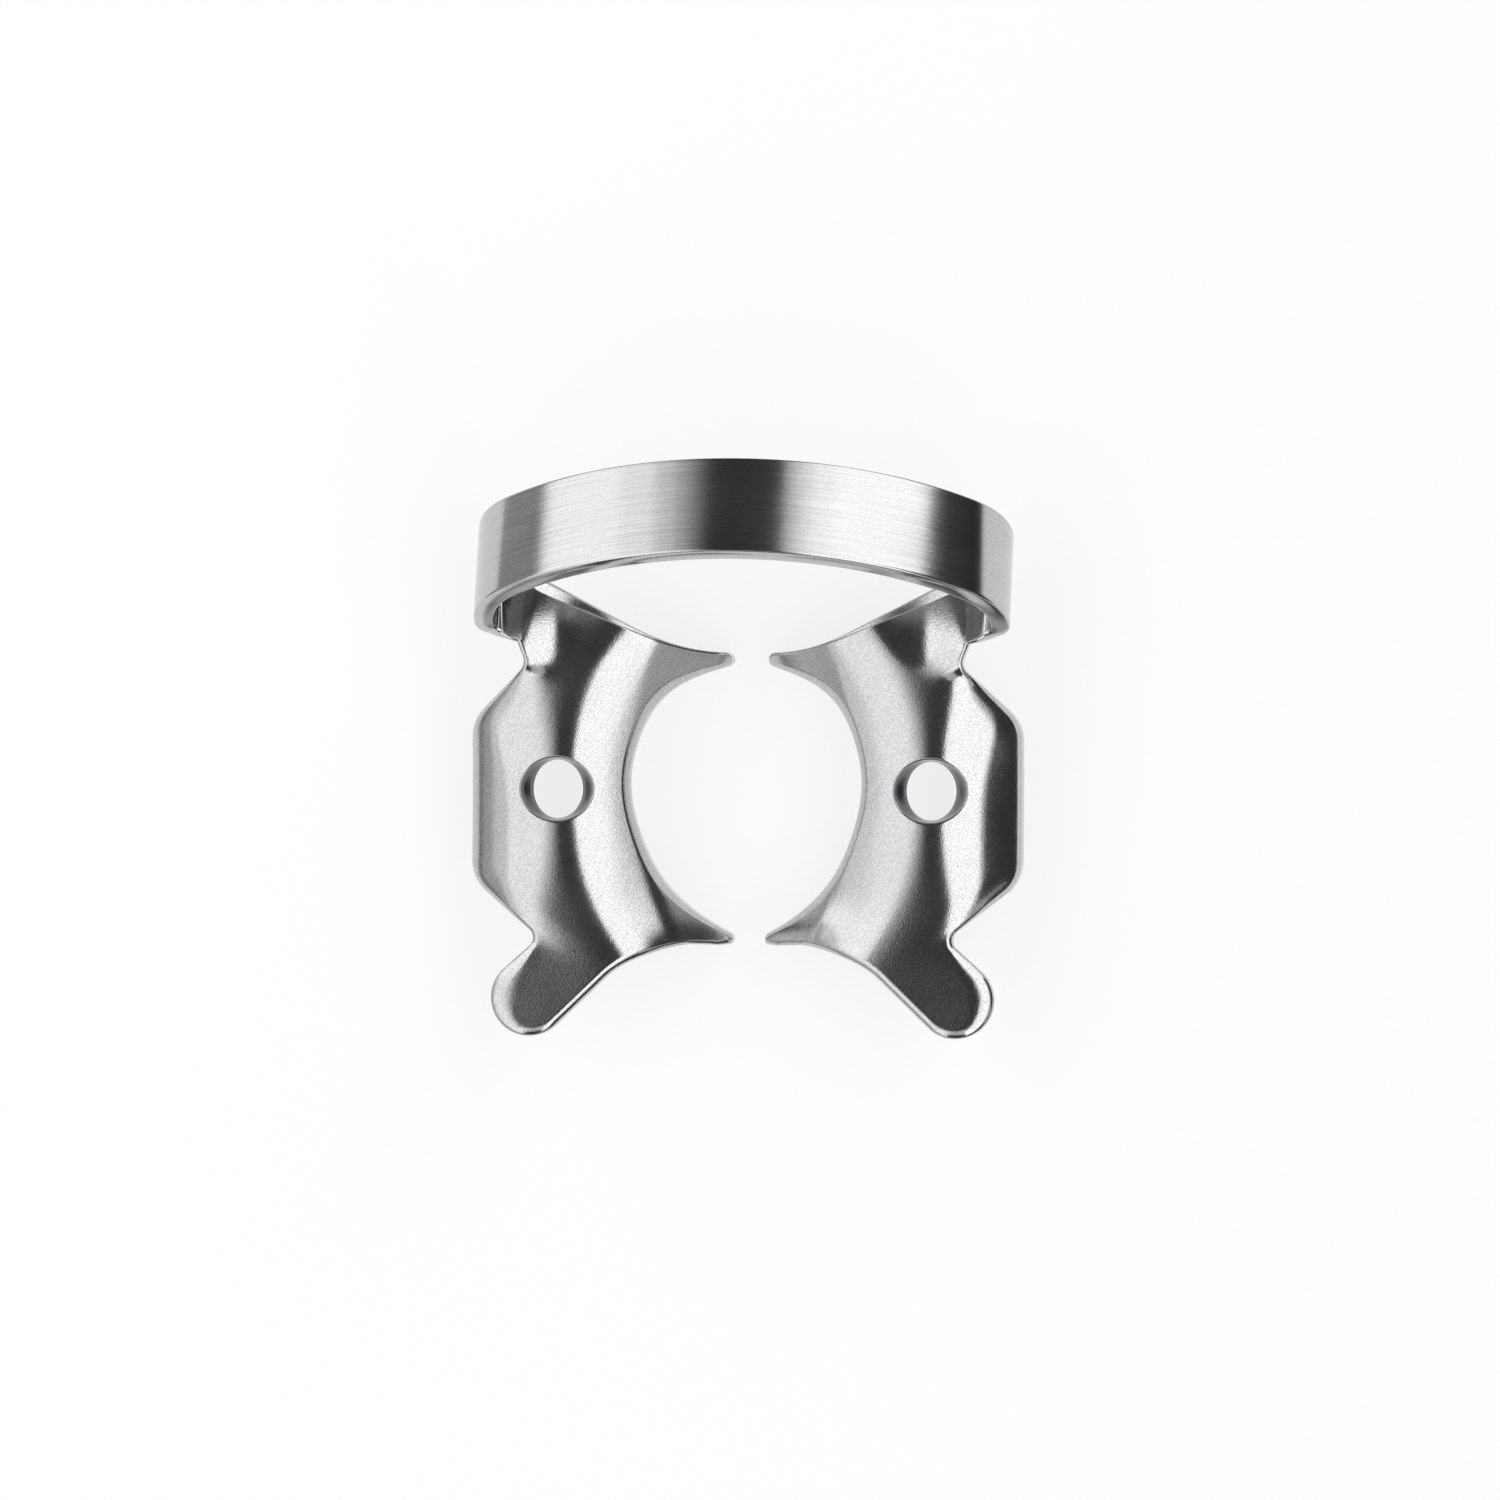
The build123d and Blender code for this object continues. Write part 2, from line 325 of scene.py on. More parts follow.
def ground_edge(runs, inward):
    """Chains runs of plan points into one edge with its ground or rounded strip.

    Each run brings the strip's width, depth and roundness at even steps along it. The inset line lies one
    width from the outline along its normal, which is the direction of travel turned a quarter to the plate.
    """
    points = np.vstack([run[0][:-1] for run in runs[:-1]] + [runs[-1][0]])
    sizes = []
    for place, (run, *strip_sizes) in enumerate(runs):
        at = np.linspace(0, 1, len(run))
        values = np.column_stack([np.interp(at, np.linspace(0, 1, len(size)), size) for size in strip_sizes])
        sizes.append(values if place == len(runs) - 1 else values[:-1])
    sizes = np.vstack(sizes)
    heading = np.gradient(points, axis=0)
    heading /= np.linalg.norm(heading, axis=1)[:, None]
    normal = inward * np.column_stack([-heading[:, 1], heading[:, 0]])
    inset = points + normal * sizes[:, :1]
    return {"inset": inset, "outline": points, "depth": sizes[:, 1], "round": sizes[:, 2]}


def edge_at(edge, y):
    """Inset point, outline point, depth and roundness of an edge at given rows, read between its points."""
    listed = (edge["inset"][:, 0], edge["outline"][:, 0], edge["outline"][:, 1], edge["depth"], edge["round"])
    down = -edge["inset"][:, 1]
    inset_x, outline_x, outline_y, depth, roundness = [np.interp(-y, down, values) for values in listed]
    return {
        "inset": np.column_stack([inset_x, y]),
        "outline": np.column_stack([outline_x, outline_y]),
        "depth": depth,
        "round": roundness,
    }


def inner_edge():
    """Edge from the neck's rear corner round both prongs and the opening to the end of the tab.

    Each run is a stretch of the outline, then its strip's widths, depths and roundness along it.
    """
    rear_way = np.array([1, slope(rear_edge_angle)])
    rear_start = rear_corner + (rear_edge_start_x - rear_corner[0]) * rear_way
    rear_wide = rear_corner + (rear_edge_wide_x - rear_corner[0]) * rear_way
    tip_back, tip_low = [on_circle(rear_tip, angle) for angle in rear_tip_angles]
    front_back, front_low = [on_circle(front_tip, angle) for angle in front_tip_angles]
    tab_start = on_circle(tab_end, 270 + front_edge_angle)
    front_edge = tab_start + (front_edge_x - tab_start[0]) * np.array([1, slope(front_edge_angle)])
    back = curve([rear_corner, rear_prong_back, tip_back], 180 + rear_edge_angle, 90 + rear_tip_angles[0], 24)
    opening = curve([tip_low, *opening_points, front_back], *opening_angles, 92)
    front = curve([front_low, *front_prong_front, front_edge], 0, front_edge_angle, 36)
    flat, soft = (1.5, 1.5), (1.8, 1.8)
    return ground_edge([
        (straight(rear_start, rear_wide, 7),
         (0.12, 0.5), (0.06, 0.25), (1.5, 1.1)),
        (straight(rear_wide, rear_corner, 18),
         (0.5, 0.45, 0.3, 0.2), (0.25, 0.22, 0.15, 0.13), (1.1, 1.3)),
        (back,
         (0.2, 0.12, 0.12), (0.13, 0.05, 0.06), flat),
        (arc(rear_tip, *rear_tip_angles, 13),
         (0.12, 0.13, 0.14), (0.06, 0.12, 0.12), flat),
        (opening,
         (0.14, 0.24, 0.32, 0.32, 0.29, 0.27, 0.27, 0.27, 0.27, 0.26, 0.23, 0.18, 0.12),
         (0.12, 0.19, 0.25, 0.24, 0.21, 0.2, 0.2, 0.2, 0.2, 0.2, 0.18, 0.14, 0.1), flat),
        (arc(front_tip, *front_tip_angles, 13),
         (0.12, 0.2, 0.25), (0.1, 0.12, 0.14), flat),
        (front,
         (0.25, 0.17, 0.17, 0.2, 0.26, 0.3, 0.3), (0.14, 0.13, 0.14, 0.16, 0.19, 0.2, 0.2), (1.5, 1.8)),
        (straight(front_edge, tab_start, 12),
         (0.3, 0.3), (0.2, 0.2), soft),
        (arc(tab_end, 270 + front_edge_angle, 270, 20),
         (0.3, 0.34, 0.37, 0.39, 0.4), (0.2, 0.18, 0.17, 0.16, 0.16), (1.8, 2.1, 2.2)),
    ], 1)


def outer_edge():
    """Edge from the neck's front corner round the notch, the wing and the front notch to the end of the tab.

    Each run is a stretch of the outline, then its strip's widths, depths and roundness along it.
    """
    rear_notch = wing_rear + np.array([1, slope(wing_rear_angle)]) * (rear_notch_x - wing_edge_x)
    neck_front = rear_notch + neck_side_length * way(neck_side_angle)
    tab_side = on_circle(tab_end, tab_side_angle - 90)
    sides = np.column_stack([way(wing_front_angle), -way(tab_side_angle)])
    front_notch = wing_front + np.linalg.solve(sides, tab_side - wing_front)[0] * way(wing_front_angle)
    rear_turn = rounding(neck_front, rear_notch, wing_rear, rear_notch_radius, 14)
    wing_rear_turn = rounding(rear_notch, wing_rear, wing_front, wing_corner_radius, 18)
    wing_front_turn = rounding(wing_rear, wing_front, front_notch, wing_corner_radius, 18)
    front_turn = rounding(wing_front, front_notch, tab_side, front_notch_radius, 14)
    thin = (0.16, 0.16), (0.12, 0.12), (1.6, 1.6)
    return ground_edge([
        (straight(neck_front, rear_turn[0], 6), *thin),
        (rear_turn, (0.16, 0.16), (0.12, 0.1), (1.6, 1.8)),
        (straight(rear_turn[-1], wing_rear_turn[0], 8), (0.16, 0.16), (0.1, 0.12), (1.8, 1.6)),
        (wing_rear_turn, *thin),
        (straight(wing_rear_turn[-1], wing_front_turn[0], 8), *thin),
        (wing_front_turn, *thin),
        (straight(wing_front_turn[-1], front_turn[0], 8), (0.16, 0.16), (0.12, 0.09), (1.6, 1.8)),
        (front_turn, (0.16, 0.28), (0.09, 0.1), (1.8, 2.4)),
        (straight(front_turn[-1], tab_side, 8), (0.28, 0.85), (0.1, 0.17), (2.4, 2.5)),
        (arc(tab_end, tab_side_angle - 90, -90, 44),
         (0.85, 1.0, 1.05, 1.0, 0.85, 0.64, 0.46, 0.4),
         (0.17, 0.19, 0.19, 0.19, 0.18, 0.17, 0.16, 0.16), (2.5, 2.5, 2.4, 2.2)),
    ], -1)


def edge_skin(edge):
    """Skin of a jaw's edge, row by row: the ground strip, the wall straight down and the rounded lower edge.

    The strip drops by its depth times a power of the way across it, which is its roundness.
    """
    part = edge_steps[:, None, None]
    plan = (1 - part) * edge["inset"] + part * edge["outline"]
    x, y = plan[..., 0], plan[..., 1]
    top = jaw_top(x, y) - edge_steps[:, None] ** edge["round"] * edge["depth"] - edge_end[:, None]
    low = jaw_under(x, y) + under_fall[:, None] * under_round
    middle = (top[-1] + low[-1]) / 2
    xs = np.vstack([x, x[-1:], x[::-1]])
    ys = np.vstack([y, y[-1:], y[::-1]])
    zs = np.vstack([top, middle[None], low[::-1]])
    return np.stack([xs, ys, zs], axis=-1)


class Skin:
    """Patches of one mesh: each is a grid of points with its quads and the values that its finish and the
    hole wall's painted shade follow.
    """

    def __init__(self):
        self.points, self.quads, self.values, self.count = [], [], [], 0

    def add(self, grid, keep=None, along=0.0, across=0.0, band=0.0, wall=0.0):
        """Adds a grid of points; keep says which of its cells are filled, and wall is the share of painted
        shade on the hole's wall.
        """
        rows, columns = grid.shape[:2]
        index = self.count + np.arange(rows * columns).reshape(rows, columns)
        quads = np.stack([index[:-1, :-1], index[1:, :-1], index[1:, 1:], index[:-1, 1:]], axis=-1)
        self.quads.append(quads[keep] if keep is not None else quads.reshape(-1, 4))
        self.points.append(grid.reshape(-1, 3))
        shape = (rows, columns)
        spread = [np.broadcast_to(value, shape).reshape(-1) for value in (along, across, band, wall)]
        self.values.append(np.column_stack(spread))
        self.count += rows * columns


def jaw_rows(inner, outer):
    """Rows of the jaw: at each point of the inner edge and the tab, at the neck's ends and round the hole.

    Gives their y from the neck's rear end down to the tab's end, the last row that the neck has, and the
    first and last row of the square round the hole.
    """
    # How many points are read of the neck's rear edge, of its front edge and of the tab's outer edge
    rear_points, front_points, tab_points = 20, 6, 50
    rear_x, rear_y = inner["inset"][:rear_points].T
    front_x, front_y = outer["inset"][:front_points].T
    start = np.interp(-neck_end_x, -rear_x, rear_y)
    neck_front = np.interp(-neck_end_x, -front_x, front_y)
    bottom = inner["inset"][-1, 1]
    marks = np.array([start, neck_front, bottom, hole[1] + hole_square, hole[1] - hole_square])
    y = np.concatenate([inner["inset"][:, 1], outer["inset"][-tab_points:, 1], marks])
    y = np.unique(np.round(y[(y <= start) & (y >= bottom)], 5))[::-1]
    front, hole_from, hole_to = [int(np.argmin(np.abs(y - mark))) for mark in marks[[1, 3, 4]]]
    return y, front, hole_from, hole_to


def even_parts(count):
    """Even parts of a way, from the first one to its end."""
    return np.linspace(0, 1, count + 1)[1:]


def jaw_columns(y, x_in, x_out, counts):
    """Columns across each row: near the hole they keep to the square round it, elsewhere to set shares."""
    first_share, second_share, fade = 0.42, 0.76, 1.9
    near = smooth(np.clip(fade - np.abs(y - hole[1]) / hole_square, 0, 1))
    span = x_out - x_in
    first = near * (hole[0] - hole_square) + (1 - near) * (x_in + first_share * span)
    second = near * (hole[0] + hole_square) + (1 - near) * (x_in + second_share * span)
    stops = [x_in, first, second, x_out]
    columns = [x_in[:, None]]
    for start, end, count in zip(stops, stops[1:], counts):
        columns.append(start[:, None] + (end - start)[:, None] * even_parts(count))
    return np.concatenate(columns, axis=1)


def border(grid):
    """Values round the border of a grid, in order, with the first one again at the end."""
    return np.concatenate([grid[0, :], grid[1:, -1], grid[-1, -2::-1], grid[-2::-1, 0]])


def add_hole(skin, square):
    """Hole: rings from the square round it to its rim, the flared wall, and rings out again below.

    The rim and the bore are ovals, half widths times cosine and sine, and their edges are quarter circles.
    """
    angle = np.arctan2(square[:, 1] - hole[1], square[:, 0] - hole[0])
    unit = np.column_stack([np.cos(angle), np.sin(angle)])
    rim, rim_inset = hole + unit * hole_rim, hole + unit * (hole_rim + hole_rim_round)
    through, through_inset = hole + unit * hole_through, hole + unit * (hole_through + hole_through_round)
    ring_count = 12
    part = np.linspace(0, 1, ring_count)[:, None, None]
    upper = (1 - part) * square + part * rim_inset
    skin.add(np.dstack([upper, jaw_top(upper[..., 0], upper[..., 1])]))
    lower = (1 - part) * square + part * through_inset
    skin.add(np.dstack([lower, jaw_under(lower[..., 0], lower[..., 1])]))

    steps = edge_steps[:, None, None]
    fall = (1 - np.sqrt(1 - edge_steps**2))[:, None]
    brim = (1 - steps) * rim_inset + steps * rim
    brim_z = jaw_top(brim[..., 0], brim[..., 1]) - fall * hole_rim_round
    lip = (1 - steps) * through_inset + steps * through
    lip_z = jaw_under(lip[..., 0], lip[..., 1]) + fall * hole_through_round
    wall_steps = np.array([0.33, 0.66])
    down = wall_steps[:, None]
    middle = (1 - down[..., None]) * brim[-1] + down[..., None] * lip[-1]
    middle_z = (1 - down) * brim_z[-1] + down * lip_z[-1]
    wall = np.concatenate([brim, middle, lip[::-1]])
    wall_z = np.concatenate([brim_z, middle_z, lip_z[::-1]])
    # Painted shade: the hole's wall gets a darker colour, rising across the rim's rounding and full down the
    # wall and lip
    painted_wall_shade = np.concatenate([edge_steps**4, np.ones(len(middle) + len(lip))])[:, None]
    skin.add(np.dstack([wall, wall_z]), wall=painted_wall_shade)


def add_jaw(skin):
    """Jaw: its faces, its hole and its edges. Gives the neck's rows and the points that the strap meets."""
    inner, outer = inner_edge(), outer_edge()
    y, front, hole_from, hole_to = jaw_rows(inner, outer)
    left, right = edge_at(inner, y), edge_at(outer, y)
    x_in = left["inset"][:, 0]
    x_out = np.where(np.arange(len(y)) <= front, neck_end_x, right["inset"][:, 0])
    x_out[-1] = x_in[-1]
    flange_columns, hole_columns, wing_columns = 19, 18, 15
    x = jaw_columns(y, x_in, x_out, (flange_columns, hole_columns, wing_columns))
    rows = np.broadcast_to(y[:, None], x.shape)
    hole_end = flange_columns + hole_columns
    keep = np.ones((x.shape[0] - 1, x.shape[1] - 1), dtype=bool)
    keep[hole_from:hole_to, flange_columns:hole_end] = False
    top = np.stack([x, rows, jaw_top(x, rows)], axis=-1)
    under = np.stack([x, rows, jaw_under(x, rows)], axis=-1)
    skin.add(top, keep)
    skin.add(under, keep)
    block = np.s_[hole_from:hole_to + 1, flange_columns:hole_end + 1]
    add_hole(skin, np.column_stack([border(x[block]), border(rows[block])]))
    left_skin = edge_skin(left)
    right_skin = edge_skin({name: values[front:] for name, values in right.items()})
    right_skin[:, -1] = left_skin[:, -1]
    skin.add(left_skin)
    skin.add(right_skin)
    return y[:front + 1], top[:front + 1, -1], under[:front + 1, -1], left_skin[:, 0], right_skin[:, 0]


def bow_stations():
    """Stations along the strap from the neck to the bow's middle: inner-face point, outward normal, length.

    The curl, the shoulder and the crown are circle arcs in the bow's leaning plane, each tangent to the last.
    """
    shoulder_x = bow_half_span - shoulder_radius
    crown = bow_rise - curl_radius
    crown_radius = (shoulder_x**2 + crown**2 - shoulder_radius**2) / (2 * (crown - shoulder_radius))
    crown_y = bow_rise - crown_radius
    joint = math.degrees(math.atan2(curl_radius - crown_y, shoulder_x))
    turns = [
        ((curl_start_x, curl_radius), curl_radius, np.linspace(neck_curl_angle - 90, 0, 30)),
        ((shoulder_x, curl_radius), shoulder_radius - strip, np.linspace(0, joint, 25)[1:]),
        ((0.0, crown_y), crown_radius - strip, np.linspace(joint, 90, 46)[1:]),
    ]
    normals = [np.column_stack([np.cos(np.radians(angle)), np.sin(np.radians(angle))]) for *_, angle in turns]
    arcs = [np.array(centre) + radius * out for (centre, radius, _), out in zip(turns, normals)]
    place = np.vstack(arcs)
    length = np.concatenate([[0], np.cumsum(np.linalg.norm(np.diff(place, axis=0), axis=1))])
    return place, np.vstack(normals), length, len(arcs[0])


def strap_point(place, normal, across, depth):
    """Points of the strap: stations in the leaning plane, moved back across the band and out by a depth."""
    lean = math.radians(bow_lean)
    foot_z = -slope(bow_lean) * (bow_front_y - neck_fold_y)
    flat = place + normal * depth[..., None]
    x = flat[..., 0]
    y = bow_front_y + flat[..., 1] * math.sin(lean) + across * math.cos(lean)
    z = foot_z + flat[..., 1] * math.cos(lean) - across * math.sin(lean)
    return np.stack([x, y, z], axis=-1)


def add_strap(skin, y, top_joint, under_joint, rear_joint, front_joint):
    """Strap: the neck's rows run on round the curl and over the bow, and widen to its full width on the way.

    Its start is moved on to the jaw's points, by what it misses of them times a share that fades with length.
    """
    front_haste, joint_length, finish_length = 2.2, 1.8, 1.5
    place, normal, length, curl_count = bow_stations()
    lean = math.cos(math.radians(bow_lean))
    swell = smooth(np.clip(np.arange(len(length)) / (curl_count - 1), 0, 1))
    front_swell = np.clip(swell * front_haste, 0, 1)
    front_across = (1 - front_swell) * ((y[-1] - bow_front_y) / lean - bow_edge)
    rear_across = swell * bow_width + (1 - swell) * ((y[0] - bow_front_y) / lean + bow_edge)
    fraction = (y - y[-1]) / (y[0] - y[-1])
    width = rear_across - front_across - 2 * bow_edge
    face_rows = (front_across + bow_edge)[:, None] + fraction * width[:, None]
    ground = edge_steps**bow_edge_roundness * bow_edge_depth + edge_end
    edge_depth = np.concatenate([ground, [strip / 2], (strip - under_fall * under_round)[::-1]])
    reach = np.concatenate([edge_steps, [1.0], edge_steps[::-1]]) - 1
    rear_rows = rear_across[:, None] + reach * bow_edge
    front_rows = front_across[:, None] - reach * bow_edge
    fade = smooth(np.clip(1 - length / joint_length, 0, 1))[:, None, None]
    finish = {"along": (length[-1] - length)[:, None], "band": np.clip(length / finish_length, 0, 1)[:, None]}
    patches = [
        (face_rows, 0.0, top_joint),
        (face_rows, strip, under_joint),
        (rear_rows, edge_depth, rear_joint),
        (front_rows, edge_depth, front_joint),
    ]
    for across, depth, joint in patches:
        depths = np.broadcast_to(depth, across.shape)
        points = strap_point(place[:, None], normal[:, None], across, depths)
        skin.add(points + fade * (joint - points[0]), across=across, **finish)


def clamp_piece():
    """The clamp as one closed mesh: half of its skin and its mirror image across X = 0, joined at seams."""
    skin = Skin()
    add_strap(skin, *add_jaw(skin))
    half = np.vstack(skin.points) + np.array([0, -part_middle, jaw_level])
    points = np.vstack([half, half * np.array([-1, 1, 1])]) * MM
    quads = np.vstack(skin.quads)
    faces = np.vstack([quads, quads + len(half)])
    values = np.vstack(skin.values)
    values = np.vstack([values, values * np.array([-1, 1, 1, 1])])
    seam = 0.0002 * MM
    mesh = bpy.data.meshes.new("clamp_steel")
    mesh.from_pydata(points, [], faces.tolist(), shade_flat=False)
    # The wall value is the share of painted shade on the hole's wall
    for column, name in enumerate(("along", "across", "band", "wall")):
        layer = mesh.attributes.new(name, "FLOAT", "POINT")
        layer.data.foreach_set("value", values[:, column])
    shape = bmesh.new()
    shape.from_mesh(mesh)
    bmesh.ops.remove_doubles(shape, verts=shape.verts, dist=seam)
    bmesh.ops.recalc_face_normals(shape, faces=shape.faces)
    shape.to_mesh(mesh)
    shape.free()
    piece = bpy.data.objects.new("clamp_steel", mesh)
    bpy.context.scene.collection.objects.link(piece)
    level = piece.modifiers.new("even_shading", "WEIGHTED_NORMAL")
    level.mode = "FACE_AREA"
    level.weight = 60
    return piece


def linear(code):
    """sRGB hex colour as linear red, green, blue and alpha."""
    value = np.array([int(code[i:i + 2], 16) for i in (1, 3, 5)]) / 255
    value = np.where(value <= 0.04045, value / 12.92, ((value + 0.055) / 1.055) ** 2.4)
    return (*value.tolist(), 1.0)


def node(tree, kind, settings=None, links=None):
    """Adds a node: settings by name, and inputs by name or place as a value or another node's output."""
    new = tree.nodes.new(kind)
    for name, value in (settings or {}).items():
        setattr(new, name, value)
    for name, value in (links or {}).items():
        socket = new.inputs[name]
        if isinstance(value, bpy.types.NodeSocket):
            tree.links.new(value, socket)
        else:
            socket.default_value = value
    return new


def stainless_steel():
    """Stainless spring steel: satin from tumbling on the jaws, with fine grinding lines along the bow.

    To the eye it is a bright, soft mirror with a sparkle of fine grain, and dark where it meets the dim room.
    """
    grain_size, grain_height = 0.06 * MM, 0.0035 * MM
    polish_gap, polish_length, polish_depth, polish_angle = 0.06 * MM, 2.0 * MM, 0.5 * MM, -62
    line_gap, line_length = 0.05, 5.0
    patch_size = 3.0 * MM
    polish_share, line_share = 0.22, 0.6
    smoothest, dullest = 0.13, 0.18
    bow_height, bow_roughness = -0.65, -0.01
    material = bpy.data.materials.new("satin_ground_stainless_steel")
    material.use_nodes = True
    tree = material.node_tree
    tree.nodes.clear()
    place = node(tree, "ShaderNodeTexCoord").outputs["Object"]
    along = node(tree, "ShaderNodeAttribute", {"attribute_name": "along"}).outputs["Fac"]
    across = node(tree, "ShaderNodeAttribute", {"attribute_name": "across"}).outputs["Fac"]
    band = node(tree, "ShaderNodeAttribute", {"attribute_name": "band"}).outputs["Fac"]
    wall = node(tree, "ShaderNodeAttribute", {"attribute_name": "wall"}).outputs["Fac"]

    # Grain of the tumbled jaws, with slanting polishing lines, drawn as coarse as they need to show
    grain = node(tree, "ShaderNodeTexNoise", links={"Vector": place, "Scale": 1 / grain_size, "Detail": 1.0})
    slant = node(tree, "ShaderNodeVectorRotate", {"rotation_type": "Z_AXIS"}, {
        "Vector": place, "Angle": math.radians(polish_angle)})
    drawn = node(tree, "ShaderNodeVectorMath", {"operation": "MULTIPLY"}, {
        0: slant.outputs[0], 1: (1 / polish_length, 1 / polish_gap, 1 / polish_depth)})
    polish = node(tree, "ShaderNodeTexNoise", links={"Vector": drawn.outputs[0], "Scale": 1.0, "Detail": 2.0})
    tumbled = node(tree, "ShaderNodeMix", {"data_type": "FLOAT"}, {
        "Factor": polish_share, "A": grain.outputs["Fac"], "B": polish.outputs["Fac"]})

    # Grinding lines along the bow, read from the strap's own length and width, which are in millimetres
    down = node(tree, "ShaderNodeMath", {"operation": "MULTIPLY"}, {0: along, 1: 1 / line_length})
    over = node(tree, "ShaderNodeMath", {"operation": "MULTIPLY"}, {0: across, 1: 1 / line_gap})
    lines_at = node(tree, "ShaderNodeCombineXYZ", links={"X": down.outputs[0], "Y": over.outputs[0]})
    lines = node(tree, "ShaderNodeTexNoise", links={
        "Vector": lines_at.outputs[0], "Scale": 1.0, "Detail": 3.0})
    ground = node(tree, "ShaderNodeMath", {"operation": "MULTIPLY"}, {0: band, 1: line_share})
    marks = node(tree, "ShaderNodeMix", {"data_type": "FLOAT"}, {
        "Factor": ground.outputs[0], "A": tumbled.outputs[0], "B": lines.outputs["Fac"]})
    tint = node(tree, "ShaderNodeMapRange", links={
        "Value": marks.outputs[0], "From Min": 0.36, "From Max": 0.64, "To Min": 0.0, "To Max": 1.0})
    bright = node(tree, "ShaderNodeMix", {"data_type": "RGBA"}, {
        "Factor": tint.outputs[0], 6: linear("#aeaeb0"), 7: linear("#cbcbcc")})

    # Painted shade: the hole's wall gets a darker colour for the shade inside the hole, and the bow's marks
    # are shallower than the grain
    colour = node(tree, "ShaderNodeMix", {"data_type": "RGBA"}, {
        "Factor": wall, 6: bright.outputs[2], 7: linear("#6a6a6c")})
    smoother = node(tree, "ShaderNodeMath", {"operation": "MULTIPLY_ADD"}, {0: band, 1: bow_height, 2: 1.0})
    height = node(tree, "ShaderNodeMath", {"operation": "MULTIPLY"}, {
        0: marks.outputs[0], 1: smoother.outputs[0]})
    bump = node(tree, "ShaderNodeBump", links={
        "Height": height.outputs[0], "Distance": grain_height, "Strength": 1.0})

    # Handling leaves the finish a little duller in patches a few millimetres wide, and the bow is glossier
    patches = node(tree, "ShaderNodeTexNoise", links={
        "Vector": place, "Scale": 1 / patch_size, "Detail": 3.0})
    dull = node(tree, "ShaderNodeMapRange", links={
        "Value": patches.outputs["Fac"], "From Min": 0.3, "From Max": 0.7,
        "To Min": smoothest, "To Max": dullest})
    finer = node(tree, "ShaderNodeMath", {"operation": "MULTIPLY_ADD"}, {
        0: band, 1: bow_roughness, 2: dull.outputs[0]})
    shader = node(tree, "ShaderNodeBsdfPrincipled", links={
        "Base Color": colour.outputs[2], "Metallic": 1.0,
        "Roughness": finer.outputs[0], "Normal": bump.outputs[0]})
    node(tree, "ShaderNodeOutputMaterial", links={"Surface": shader.outputs[0]})
    return material


def white_card():
    """Matt white card that looks evenly lit; past its edge its tone falls to a painted shade that stands for
    the dim room, darker at right.
    """
    card_edge, full_shade_at, dark_from, glow_share = 30.5 * MM, 36 * MM, 20 * MM, 0.75
    material = bpy.data.materials.new("white_card")
    material.use_nodes = True
    tree = material.node_tree
    tree.nodes.clear()
    place = node(tree, "ShaderNodeTexCoord").outputs["Object"]
    apart = node(tree, "ShaderNodeVectorMath", {"operation": "ABSOLUTE"}, {0: place})
    sides = node(tree, "ShaderNodeSeparateXYZ", links={0: apart.outputs[0]})
    out = node(tree, "ShaderNodeMath", {"operation": "MAXIMUM"}, {
        0: sides.outputs["X"], 1: sides.outputs["Y"]})
    tone = node(tree, "ShaderNodeMapRange", {"interpolation_type": "SMOOTHSTEP"}, {
        "Value": out.outputs[0], "From Min": card_edge, "From Max": full_shade_at, "To Min": 0.0, "To Max": 1.0})
    # Painted shade: past the card the floor is coloured grey at left and nearly black at right, for the steel
    # to reflect
    right = node(tree, "ShaderNodeSeparateXYZ", links={0: place})
    shade = node(tree, "ShaderNodeMapRange", {"interpolation_type": "SMOOTHSTEP"}, {
        "Value": right.outputs["X"], "From Min": dark_from, "From Max": full_shade_at,
        "To Min": 0.0, "To Max": 1.0})
    room = node(tree, "ShaderNodeMix", {"data_type": "RGBA"}, {
        "Factor": shade.outputs[0], 6: linear("#a0a0a2"), 7: linear("#303032")})
    colour = node(tree, "ShaderNodeMix", {"data_type": "RGBA"}, {
        "Factor": tone.outputs[0], 6: linear("#ffffff"), 7: room.outputs[2]})
    card = node(tree, "ShaderNodeBsdfDiffuse", links={"Color": colour.outputs[2]})
    glow = node(tree, "ShaderNodeEmission", links={"Color": colour.outputs[2], "Strength": 1.0})
    path = node(tree, "ShaderNodeLightPath")
    seen = node(tree, "ShaderNodeMath", {"operation": "MAXIMUM"}, {
        0: path.outputs["Is Camera Ray"], 1: path.outputs["Is Glossy Ray"]})
    seen = node(tree, "ShaderNodeMath", {"operation": "MAXIMUM"}, {
        0: seen.outputs[0], 1: path.outputs["Is Transmission Ray"]})
    part = node(tree, "ShaderNodeMath", {"operation": "MULTIPLY"}, {0: seen.outputs[0], 1: glow_share})
    mix = node(tree, "ShaderNodeMixShader", links={
        0: part.outputs[0], 1: card.outputs[0], 2: glow.outputs[0]})
    node(tree, "ShaderNodeOutputMaterial", links={"Surface": mix.outputs[0]})
    return material


def floor():
    """Floor under the clamp: a flat square, level with the prong tips."""
    half = 0.6
    corners = [(-half, -half, 0), (half, -half, 0), (half, half, 0), (-half, half, 0)]
    mesh = bpy.data.meshes.new("floor")
    mesh.from_pydata(corners, [], [(0, 1, 2, 3)])
    mesh.materials.append(white_card())
    piece = bpy.data.objects.new("floor", mesh)
    bpy.context.scene.collection.objects.link(piece)


